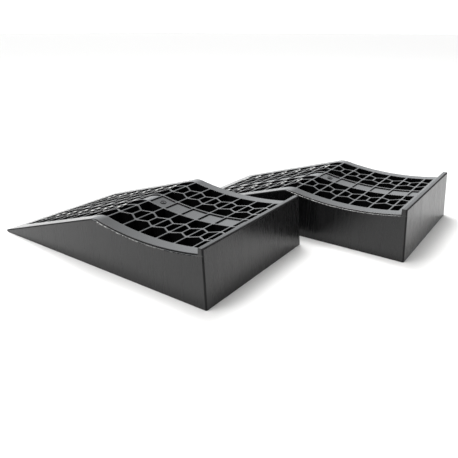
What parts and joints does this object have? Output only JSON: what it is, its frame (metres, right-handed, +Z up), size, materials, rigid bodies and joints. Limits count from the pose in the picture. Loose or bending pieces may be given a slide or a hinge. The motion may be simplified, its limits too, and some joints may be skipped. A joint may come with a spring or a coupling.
{
  "type": "leveling block set",
  "caption": "Pair of black moulded wheel ramps with a sloped climb, a curved tyre cradle, a stop lip and an open hexagon-and-rib lattice top.",
  "frame": {"origin": "under the centre of the pair's overall box, on the ground", "axes": "+X from the ramps' toes to their end walls, +Y from the front ramp to the rear ramp, +Z up"},
  "size_m": [0.544, 0.479, 0.075],
  "materials": {
    "moulded_plastic": "black moulded polypropylene with a soft sheen"
  },
  "bodies": {
    "front_ramp": {"front_ramp": "moulded_plastic"},
    "rear_ramp": {"rear_ramp": "moulded_plastic"}
  },
  "joints": [
    {"name": "rear_ramp_slide", "type": "slide", "parent": "front_ramp", "child": "rear_ramp", "axis": [0, 1, 0], "range_m": [-0.02, 0.35]}
  ]
}
